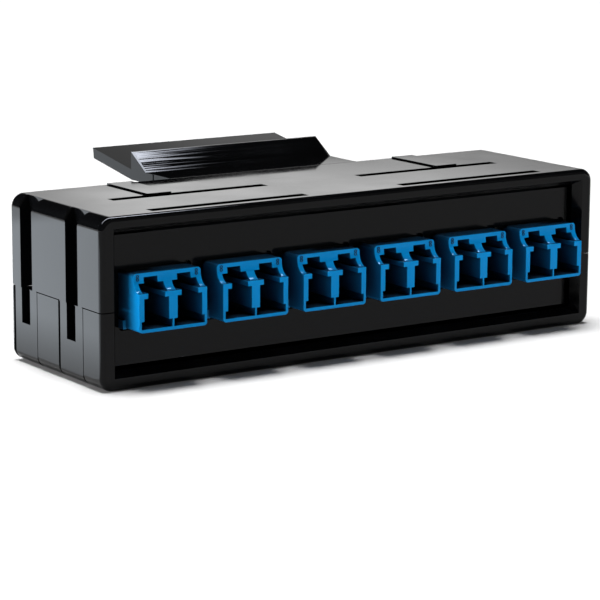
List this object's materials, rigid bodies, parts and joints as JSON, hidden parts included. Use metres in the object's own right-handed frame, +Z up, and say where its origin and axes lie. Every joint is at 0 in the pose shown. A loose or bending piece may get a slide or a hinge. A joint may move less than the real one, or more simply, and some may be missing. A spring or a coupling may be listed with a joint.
{
  "type": "fibre adapter panel",
  "caption": "Black frame holding a row of blue duplex LC fibre adapters in a recessed plate, with guide grooves in its sides and a press-down release latch at the top rear.",
  "frame": {"origin": "middle of the underside of the frame, on the surface that it stands on", "axes": "+X along the front to the viewer's right, +Y from the front to the back, +Z up"},
  "size_m": [0.1024, 0.0605, 0.0318],
  "materials": {
    "frame_black": "polished black moulding",
    "latch_black": "polished black moulding",
    "plate_black": "satin black moulding",
    "adapter_blue": "semi-gloss blue moulding",
    "sleeve_ceramic": "polished white ceramic",
    "clip_steel": "spring steel strip"
  },
  "bodies": {
    "frame": {"top_cover": "frame_black", "base": "frame_black", "adapter_plate": "plate_black", "adapter_1_front": "adapter_blue", "adapter_1_rear": "adapter_blue", "adapter_1_sleeve_left": "sleeve_ceramic", "adapter_1_sleeve_right": "sleeve_ceramic", "adapter_1_clip": "clip_steel", "adapter_2_front": "adapter_blue", "adapter_2_rear": "adapter_blue", "adapter_2_sleeve_left": "sleeve_ceramic", "adapter_2_sleeve_right": "sleeve_ceramic", "adapter_2_clip": "clip_steel", "adapter_3_front": "adapter_blue", "adapter_3_rear": "adapter_blue", "adapter_3_sleeve_left": "sleeve_ceramic", "adapter_3_sleeve_right": "sleeve_ceramic", "adapter_3_clip": "clip_steel", "adapter_4_front": "adapter_blue", "adapter_4_rear": "adapter_blue", "adapter_4_sleeve_left": "sleeve_ceramic", "adapter_4_sleeve_right": "sleeve_ceramic", "adapter_4_clip": "clip_steel", "adapter_5_front": "adapter_blue", "adapter_5_rear": "adapter_blue", "adapter_5_sleeve_left": "sleeve_ceramic", "adapter_5_sleeve_right": "sleeve_ceramic", "adapter_5_clip": "clip_steel", "adapter_6_front": "adapter_blue", "adapter_6_rear": "adapter_blue", "adapter_6_sleeve_left": "sleeve_ceramic", "adapter_6_sleeve_right": "sleeve_ceramic", "adapter_6_clip": "clip_steel"},
    "latch": {"release_latch": "latch_black"}
  },
  "joints": [
    {"name": "latch_flex", "type": "hinge", "parent": "frame", "child": "latch", "pos_m": [0, 0.015, 0.028], "axis": [-1, 0, 0], "range_deg": [0, 12], "stiffness_Nm_per_rad": 1.2}
  ]
}
